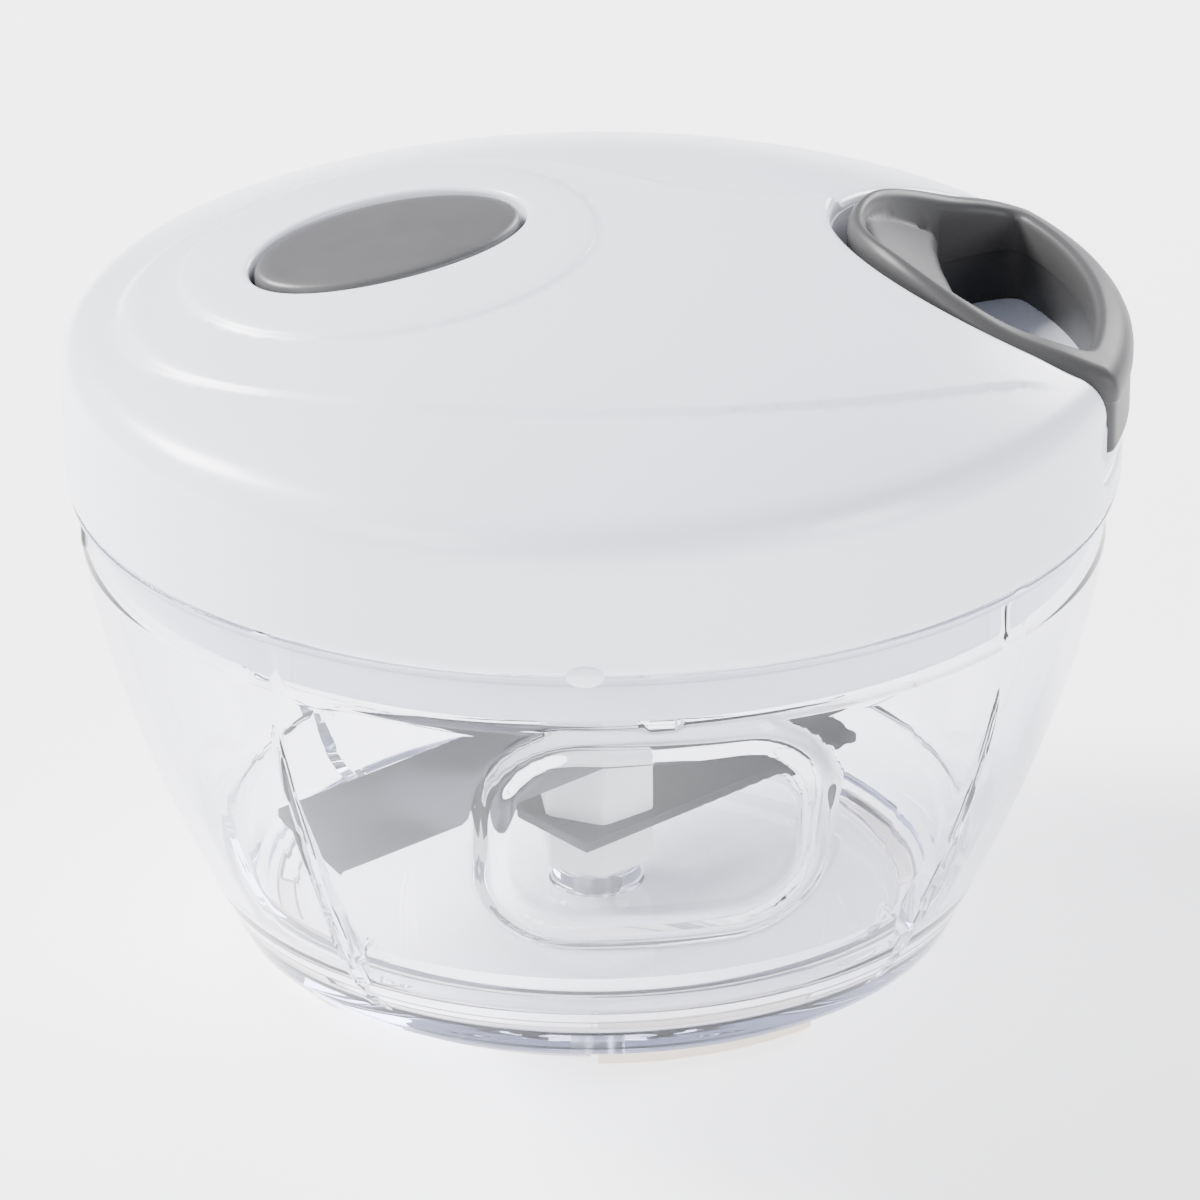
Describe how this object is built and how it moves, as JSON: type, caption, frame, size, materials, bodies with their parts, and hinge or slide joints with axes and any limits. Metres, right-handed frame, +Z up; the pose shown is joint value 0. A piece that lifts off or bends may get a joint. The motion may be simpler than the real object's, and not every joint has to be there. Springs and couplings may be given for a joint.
{
  "type": "food processor",
  "caption": "Hand-pulled food chopper: clear bowl with two blades under a domed lid that holds a cord reel, a finger-ring pull handle and a press button.",
  "frame": {"origin": "centre of the base pad's underside, on the blade axis", "axes": "+Z up along the blade axis, +X the way the handle is pulled"},
  "size_m": [0.1258, 0.125, 0.0891],
  "materials": {
    "clear_plastic": "clear, polished, faint violet edge tint",
    "white_plastic": "semi-gloss moulded",
    "white_nylon": "satin moulded",
    "grey_nylon": "satin moulded",
    "grey_gloss": "gloss moulded",
    "grey_plastic": "satin moulded",
    "blade_steel": "brushed, ground edges",
    "steel": "bright drawn",
    "spring_steel": "blued strip and wire",
    "bush_brass": "turned",
    "pad_rubber": "matt soft elastomer",
    "seal_rubber": "translucent silicone",
    "cord": "braided polyester cord"
  },
  "bodies": {
    "bowl": {"bowl": "clear_plastic", "bowl_pin": "steel", "base_pad": "pad_rubber"},
    "blades": {"blade_shaft": "white_nylon", "lower_blade": "blade_steel", "upper_blade": "blade_steel"},
    "seal": {"lid_seal": "seal_rubber"},
    "lid": {"lid_cover": "white_plastic", "inner_cover": "white_plastic", "handle_tray": "white_plastic", "cord_eyelet": "grey_nylon", "reel_axle": "steel", "thrust_washer": "white_nylon", "power_spring": "spring_steel", "lid_screws": "steel", "button_seat": "white_plastic", "button_spring": "spring_steel", "cord_inner_run": "cord"},
    "reel": {"cord_reel": "white_nylon", "reel_bush": "bush_brass", "spring_cover": "white_nylon", "drive_socket": "grey_nylon", "wound_cord": "cord"},
    "handle": {"pull_handle": "grey_gloss", "cord_lead": "cord", "cord_knot": "cord"},
    "button": {"press_button": "grey_plastic"}
  },
  "joints": [
    {"name": "lid_lift", "type": "slide", "parent": "bowl", "child": "seal", "axis": [0, 0, 1], "range_m": [0, 0.06]},
    {"name": "lid_turn", "type": "hinge", "parent": "seal", "child": "lid", "pos_m": [0, 0, 0.06], "axis": [0, 0, 1], "range_deg": [-22, 0]},
    {"name": "handle_pull", "type": "slide", "parent": "lid", "child": "handle", "axis": [1, 0, 0], "range_m": [0, 0.26], "stiffness_N_per_m": 15, "springref_m": -0.15, "deforming": ["cord_lead"]},
    {"name": "reel_spin", "type": "hinge", "parent": "lid", "child": "reel", "pos_m": [0, 0, 0.074], "axis": [0, 0, 1], "range_deg": [-1, 900], "deforming": ["power_spring"]},
    {"name": "blade_spin", "type": "hinge", "parent": "bowl", "child": "blades", "pos_m": [0, 0, 0.02], "axis": [0, 0, 1], "range_deg": [-1, 900]},
    {"name": "button_press", "type": "slide", "parent": "lid", "child": "button", "axis": [0.1045, 0, -0.9945], "range_m": [0, 0.0015], "stiffness_N_per_m": 900, "springref_m": -0.0008, "deforming": ["button_spring"]}
  ],
  "couplings": [
    {"joint": "reel_spin", "follows": "handle_pull", "rad_per_m": 60.06},
    {"joint": "blade_spin", "follows": "handle_pull", "rad_per_m": 60.06}
  ]
}
